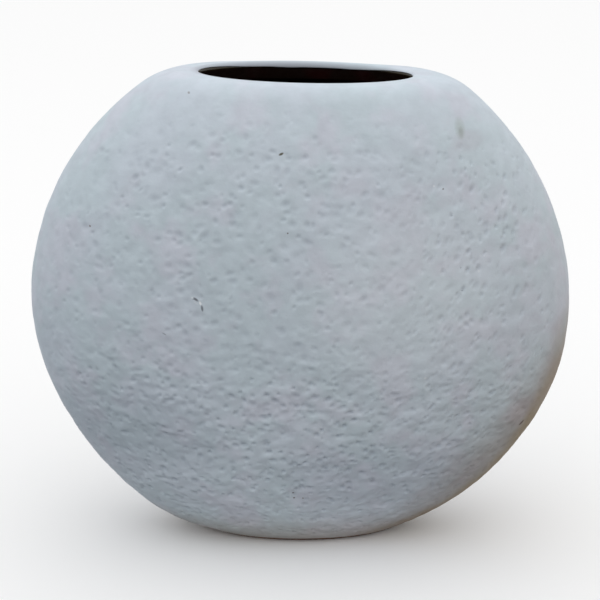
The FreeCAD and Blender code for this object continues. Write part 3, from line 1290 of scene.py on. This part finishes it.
@dataclass
class Coat:
    """The thick white coat over the outside and the lip: four closed quarters that meet edge to edge."""

    form: VaseForm
    relief: Relief = field(default_factory=Relief)
    finish: CoatFinish = field(default_factory=CoatFinish)
    columns: int = 201
    lower_rows: int = 192
    upper_rows: int = 156
    shoulder_rows: int = 28
    crown_rows: int = 10
    lip_rows: int = 6
    down_rows: int = 12
    end_rows: int = 3
    hidden_share: float = 0.08
    ghost: int = 2
    skin_depth: float = 1.45
    foot_wave: Wave = Wave(0.12, (5.0, 5.0, 5.0), 1)
    foot_oval: tuple[float, float] = (40.0, 18.0)
    end_round: float = 0.35
    end_wave: Wave = Wave(0.12, (6.0, 6.0, 6.0), 0)
    high_drop: float = 1.6
    low_drop: float = 1.95
    least_drop: float = 0.2
    drop_change: Fade = Fade(-17.0, -6.0)
    tip_share: float = 0.36
    tip_part: Fade = Fade(18.0, 41.0)

    def drop(self, angles: np.ndarray) -> np.ndarray:
        """How far below the lip's top the coat ends in the mouth.

        It is less to the left than to the right, and least at the mouth's two tips.

        Args:
            angles: the angles round the axis.

        Returns:
            One distance for each angle.
        """
        x = self.form.mouth_width / 2 * np.cos(angles)
        y = self.form.mouth_depth / 2 * np.sin(angles)
        middle = blend(self.high_drop, self.low_drop, self.drop_change.at(x))
        middle += self.relief.noise.smooth(np.stack([x, y, np.zeros(x.shape)], axis=-1), self.end_wave)
        return middle * blend(1.0, self.tip_share, self.tip_part.at(np.abs(x)))

    def foot_level(self, angles: np.ndarray) -> np.ndarray:
        """The level of the coat's lower edge, which waves a little, for each angle."""
        across, along = self.foot_oval
        places = np.stack([across * np.cos(angles), along * np.sin(angles), np.zeros(angles.shape)], axis=-1)
        return self.form.foot_reveal + self.relief.noise.smooth(places, self.foot_wave)

    @staticmethod
    def fewer(count: int, share: float) -> int:
        """A share of a number of rows, but no fewer than two."""
        return max(2, round(count * share))

    def rings(self, depth: float, angles: np.ndarray, share: float) -> np.ndarray:
        """The rings of one side of the coat, from the foot's edge to the end in the mouth.

        Args:
            depth: how far the side lies below the outside.
            angles: the angles round the axis.
            share: how many of the rows are made, as a share.

        Returns:
            An array of rows, columns and coordinates.
        """
        skin = Skin(self.form, depth, angles)
        lip = LipPath(skin, self.form.lip_round - depth)
        drop = np.maximum(self.drop(angles) - depth, self.least_drop)
        start = skin.upright_levels(self.foot_level(angles))
        shoulder = skin.shoulder(self.fewer(self.shoulder_rows, share))
        onto = lip.onto(self.fewer(self.lip_rows, share))
        return np.concatenate([
            skin.lower(start, self.fewer(self.lower_rows, share)),
            skin.upper(self.fewer(self.upper_rows, share)),
            shoulder,
            skin.crown(shoulder[-1], onto[0], self.fewer(self.crown_rows, share)),
            onto,
            lip.down(drop, self.fewer(self.down_rows, share)),
        ])

    def end(self, outside: np.ndarray, angles: np.ndarray) -> np.ndarray:
        """Rings round the coat's soft end in the mouth, which turns from down to outward.

        Args:
            outside: the rings that lead to it.
            angles: the angles round the axis.

        Returns:
            The rings of a quarter round.
        """
        _, away = Skin(self.form, 0.0, angles).mouth(0.0)
        away = raised(away, np.zeros(away.shape[:-1]))
        down = unit(outside[-1] - outside[-2])
        turns = np.linspace(0.0, math.pi / 2, self.end_rows + 1)[1:, None, None]
        return outside[-1] + self.end_round * (np.sin(turns) * down + (1.0 - np.cos(turns)) * away)

    def build(self, side: Side, material: bpy.types.Material) -> bpy.types.Object:
        """One quarter of the coat, with the shading directions of the whole one.

        Its columns are even along the belly's oval. A few more are worked out past both edges, so that the
        relief and the directions agree with those of the next quarter.

        Args:
            side: which quarter.
            material: the coat's material.

        Returns:
            The quarter.
        """
        steps = np.arange(-self.ghost, self.columns + self.ghost) / (self.columns - 1)
        wide = self.form.angles(side.value + (steps - 0.5) / len(Side))
        inner = slice(self.ghost, -self.ghost)
        plain = self.rings(0.0, wide, 1.0)
        outward = grid_normals(plain)
        heights, hollow = self.relief.heights(plain, outward, self.form)
        outside = plain + heights[..., None] * outward
        outside = np.concatenate([outside, self.end(outside, wide)])
        directions = grid_normals(outside)[:, inner]
        hidden = self.rings(self.skin_depth, wide[inner], self.hidden_share)
        points = np.concatenate([outside[:, inner], hidden[::-1]])
        normals = np.concatenate([directions, -grid_normals(hidden)[::-1]])
        rows, columns = points.shape[:2]
        deep = np.zeros((rows, columns))
        deep[: len(hollow)] = hollow[:, inner]
        first = [i * columns for i in range(rows)]
        last = [i + columns - 1 for i in reversed(first)]
        faces = [Shell.grid(rows, columns, True, False)]
        points = self.form.leaned(points.reshape(-1, 3))
        normals = self.form.leaned(normals.reshape(-1, 3)) - self.form.leaned(np.zeros((1, 3)))
        shell = Shell(f"coat_{side.name.lower()}")
        piece = shell.build(points, faces, [first, last], material, normals, deep.reshape(-1))
        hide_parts("outer_coat")
        return piece


@dataclass
class Lining:
    """The dark glaze over all the inside: the mouth's neck, the ceiling, the walls, a cove and the floor."""

    # A short stretch gets the rows of the longest one divided by SHORT, but no fewer than FEWEST.
    SHORT = 4
    FEWEST = 3

    form: VaseForm
    coat: Coat
    finish: GlazeFinish = field(default_factory=GlazeFinish)
    columns: int = 180
    face_rows: int = 44
    back_rows: int = 12
    neck_out: float = 0.7
    back_out: float = 1.42
    back_gap: float = 0.08
    corner: float = 1.0
    tuck: float = 0.1
    cove_level: float = 15.5
    cove_depth: float = 13.0
    cove_knee: tuple[float, float] = (9.0, 11.2)
    neck_crowding: float = 1.6
    wave: Wave = Wave(0.12, (8.0, 8.0, 8.0), 0)
    wave_above: Fade = Fade(9.0, 30.0)
    seed: int = 11

    def neck(self, skin: Skin, out: float, rows: int) -> np.ndarray:
        """Rings from the coat's end down the mouth, which flare with the lip at their top.

        The flare at a height h above the lip's lower end is the lip's radius less the root of its square
        less h squared.

        Args:
            skin: the side of the lining.
            out: how far the neck lies outside the mouth's oval.
            rows: how many rings it has.

        Returns:
            The rings, closer together near the top.
        """
        lip = LipPath(Skin(self.form, 0.0, skin.angles), self.form.lip_round)
        top = lip.top() - self.coat.drop(skin.angles) + self.tuck
        foot = skin.crown_level(skin.mouth(out)[0]) + self.corner
        levels = blend(top, foot, np.linspace(0.0, 1.0, rows)[:, None] ** self.neck_crowding)
        above = np.clip(self.form.lip_round - (lip.top() - levels), 0.0, self.form.lip_round)
        flare = self.form.lip_round - np.sqrt(self.form.lip_round ** 2 - above ** 2)
        return raised(skin.mouth(out + flare)[0], levels)

    def rings(self, depth: float, out: float, floor: float, angles: np.ndarray, rows: int) -> np.ndarray:
        """Rings of one side of the lining, from its top edge in the mouth to the middle of the floor.

        Args:
            depth: how far the side lies below the outside on the walls.
            out: how far it lies outside the mouth's oval in the neck.
            floor: the level of the floor.
            angles: the angles round the axis.
            rows: how many rings the longest stretch has.

        Returns:
            An array of rows, columns and coordinates.
        """
        skin = Skin(self.form, depth, angles)
        few = max(self.FEWEST, rows // self.SHORT)
        neck = self.neck(skin, out, few * 2)
        oval, away = skin.mouth(out)
        knee, leave = (raised(flat, skin.crown_level(flat)) for flat in (oval, oval + self.corner * away))
        bend = self.bend(neck[-1], knee, leave, few)
        shoulder = skin.shoulder(few * 2)[::-1]
        ceiling = skin.crown(leave, shoulder[0], few)
        upper = skin.upper(rows)[::-1]
        lower = skin.lower(skin.upright_levels(self.cove_level), rows)[::-1]
        step = self.form.cavity - depth
        deep = Skin(self.form, self.cove_depth - step, angles).level_ring(floor)
        bent = Skin(self.form, self.cove_knee[0] - step, angles).level_ring(self.cove_knee[1] - step)
        cove = self.bend(lower[-1], bent, deep, few * 2)
        shares = np.linspace(1.0, 0.0, few * 2 + 1)[1:-1, None, None]
        ground = blend(self.form.upright(np.array([0.0, 0.0, floor])), deep, shares)
        return np.concatenate([neck, bend, ceiling, shoulder, upper[1:], lower, cove, ground])

    @staticmethod
    def bend(first: np.ndarray, knee: np.ndarray, last: np.ndarray, count: int) -> np.ndarray:
        """Rings along a parabola that leaves the first ring, leans to the knee and ends on the last ring."""
        shares = np.linspace(0.0, 1.0, count + 1)[1:, None, None]
        return first * (1.0 - shares) ** 2 + 2.0 * knee * shares * (1.0 - shares) + last * shares ** 2

    def build(self) -> bpy.types.Object:
        """The lining as one closed surface: its face, and a plain side against the clay."""
        angles = self.form.angles(np.arange(self.columns) / self.columns)
        face_floor = self.form.foot_thickness + self.form.lining
        back_floor = self.form.foot_thickness + self.back_gap
        back_depth = self.form.cavity - self.form.lining + self.back_gap
        face = self.rings(self.form.cavity, self.neck_out, face_floor, angles, self.face_rows)
        closed = np.concatenate([face[:, -1:], face, face[:, :1]], axis=1)
        heights = LatticeNoise(self.seed).smooth(face, self.wave) * self.wave_above.at(face[..., 2])
        face = face + heights[..., None] * grid_normals(closed)[:, 1:-1]
        back = self.rings(back_depth, self.back_out, back_floor, angles, self.back_rows)
        low, high = self.form.upright(np.array([[0.0, 0.0, back_floor], [0.0, 0.0, face_floor]]))
        points, faces = Shell.capped(np.concatenate([back[::-1], face]), low, high)
        piece = Shell("glaze_lining").build(self.form.leaned(points), faces, [], self.finish.material())
        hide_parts("inner_lining")
        return piece


@dataclass
class FootSlab:
    """The clay slab under the walls, bare below the coat and on its flat underside."""

    form: VaseForm
    finish: ClayFinish = FOOT_CLAY
    columns: int = 200
    edge: float = 0.45
    edge_steps: int = 4
    bare: float = 1.25
    step: float = 0.05
    inset: float = 1.48
    spokes: int = 12

    def build(self) -> bpy.types.Object:
        """The slab as one closed surface, from the middle of its underside to the middle of its top."""
        angles = self.form.angles(np.arange(self.columns) / self.columns)
        heights = np.array([[0.0, 0.0, 0.0], [0.0, 0.0, self.form.foot_thickness]])
        low, high = self.form.upright(heights)
        turns = np.linspace(0.0, math.pi / 2, self.edge_steps + 1)
        profile = [(self.edge * (1.0 - math.sin(t)), self.edge * (1.0 - math.cos(t))) for t in turns]
        profile += [
            (0.0, self.bare),
            (self.inset, self.bare + self.step),
            (self.inset, self.form.foot_thickness),
        ]
        side = [Skin(self.form, depth, angles).level_ring(level) for depth, level in profile]
        shares = np.linspace(0.0, 1.0, self.spokes + 1)[1:-1]
        underside = [blend(low, side[0], share) for share in shares]
        top = [blend(high, side[-1], share) for share in shares[::-1]]
        points, faces = Shell.capped(np.stack([*underside, *side, *top]), low, high)
        piece = Shell("foot_slab").build(self.form.leaned(points), faces, [], self.finish.material())
        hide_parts("base_slab")
        return piece


@dataclass(frozen=True)
class ClayBody:
    """The clay walls, collar and coils under the coat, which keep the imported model's shapes."""

    wall: ClayFinish = WALL_CLAY
    coil: ClayFinish = COIL_CLAY

    def dress(self) -> None:
        """Puts each finish into the slots of its pieces."""
        for clay, finish in ((Clay.WALL, self.wall), (Clay.COIL, self.coil)):
            material = finish.material()
            for name in clay.value:
                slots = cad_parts[name].material_slots
                for slot in slots:
                    slot.material = material
                LOG.info("%s: %s in %d slots", name, finish.name, len(slots))


@dataclass(frozen=True)
class Studio:
    """A pale floor, an even soft light that is stronger from above, and the camera of the photograph.

    These sizes are in metres.
    """

    floor_size: float = 60.0
    floor_drop: float = 0.0001
    floor_shown: float = 0.96
    sky_level: float = 0.72
    sky_rise: float = 0.39
    lamp_place: tuple[float, float, float] = (0.0, -0.25, 1.5)
    lamp_size: float = 1.6
    lamp_power: float = 1.95
    bounce_near: str = "#C4C1BF"
    bounce_far: str = "#7F8388"
    bounce_right: str = "#8A6A48"
    near_end: float = 0.035
    far_start: float = 0.12
    right_from: float = 0.06
    right_full: float = 0.16
    right_share: float = 0.6
    aim: tuple[float, float, float] = (-0.0002, 0.0, 0.1003)
    distance: float = 0.85
    elevation: float = math.radians(18.79)
    lens: float = 124.0

    def build(self) -> None:
        """Sets up everything round the vase."""
        self.sky()
        self.floor()
        self.lamp()
        self.camera()
        bpy.context.scene.view_settings.view_transform = "Standard"

    @staticmethod
    def shown(bench: Bench) -> Socket:
        """One for rays that show the surroundings: to the camera, in a reflection or through glass."""
        path = bench.add("LightPath").node.outputs
        both = bench.add("Math", (path["Is Camera Ray"], path["Is Glossy Ray"]), operation="MAXIMUM")
        return bench.add("Math", (both, path["Is Transmission Ray"]), operation="MAXIMUM")

    def sky(self) -> None:
        """An even white surrounding that lights the vase more from above than from the sides."""
        world = bpy.data.worlds.new("studio")
        bpy.context.scene.world = world
        world.use_nodes = True
        bench = Bench(world.node_tree)
        way = bench.add("TexCoord", output="Generated")
        rise = bench.add("SeparateXYZ", (way,), "Z")
        strength = bench.add("Math", (rise, self.sky_rise, self.sky_level), operation="MULTIPLY_ADD")
        white = (1.0, 1.0, 1.0, 1.0)
        light = bench.add("Background", {"Color": white, "Strength": strength})
        plain = bench.add("Background", {"Color": white, "Strength": 1.0})
        mixed = bench.add("MixShader", (self.shown(bench), light, plain))
        bench.add("OutputWorld", {"Surface": mixed})

    def floor(self) -> None:
        """A pale floor that shows white with the vase's shadow.

        The light that it throws back on the vase is strongest near the foot, and warm from the right.
        """
        work = Paintwork("studio_floor")
        away = work.add("VectorMath", (work.places,), "Value", operation="LENGTH")
        distant = work.add("MapRange", (away, self.near_end, self.far_start))
        across = work.add("SeparateXYZ", (work.places,))
        right = work.add("MapRange", (across, self.right_from, self.right_full, 0.0, self.right_share))
        layers = [(distant, self.bounce_far), (right, self.bounce_right)]
        bounce = work.painted(linear(self.bounce_near), layers)
        pale = (self.floor_shown, self.floor_shown, self.floor_shown, 1.0)
        inputs = {0: self.shown(work), work.BELOW: bounce, work.ABOVE: pale}
        colour = work.add("Mix", inputs, work.MIXED, data_type="RGBA")
        made = work.finished(work.add("BsdfDiffuse", {"Color": colour}))
        half = self.floor_size / 2
        corners = [(-half, -half, 0.0), (half, -half, 0.0), (half, half, 0.0), (-half, half, 0.0)]
        mesh = bpy.data.meshes.new("studio_floor")
        mesh.from_pydata(corners, [], [(0, 1, 2, 3)])
        mesh.materials.append(made)
        ground = placed("studio_floor", mesh)
        ground.location.z = -self.floor_drop

    def lamp(self) -> None:
        """A large soft lamp over the vase."""
        light = bpy.data.lights.new("overhead", "AREA")
        light.shape = "SQUARE"
        light.size = self.lamp_size
        light.energy = self.lamp_power
        placed("overhead", light).location = self.lamp_place

    def camera(self) -> None:
        """The camera, level across and looking down a little at the middle of the vase."""
        lens = bpy.data.cameras.new("camera")
        lens.lens = self.lens
        camera = placed("camera", lens)
        back = self.distance * math.cos(self.elevation)
        up = self.distance * math.sin(self.elevation)
        camera.location = (self.aim[0], self.aim[1] - back, self.aim[2] + up)
        camera.rotation_euler = (math.pi / 2 - self.elevation, 0.0, 0.0)
        bpy.context.scene.camera = camera


def main() -> None:
    """Builds the vase and the studio, and reports each piece."""
    logging.basicConfig(level=logging.INFO, format="%(name)s: %(message)s")
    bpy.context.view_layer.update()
    form = VaseForm()
    coat = Coat(form)
    slip = coat.finish.material()
    for side in Side:
        coat.build(side, slip)
    Lining(form, coat).build()
    FootSlab(form).build()
    ClayBody().dress()
    Studio().build()


if __name__ == "__main__":
    main()
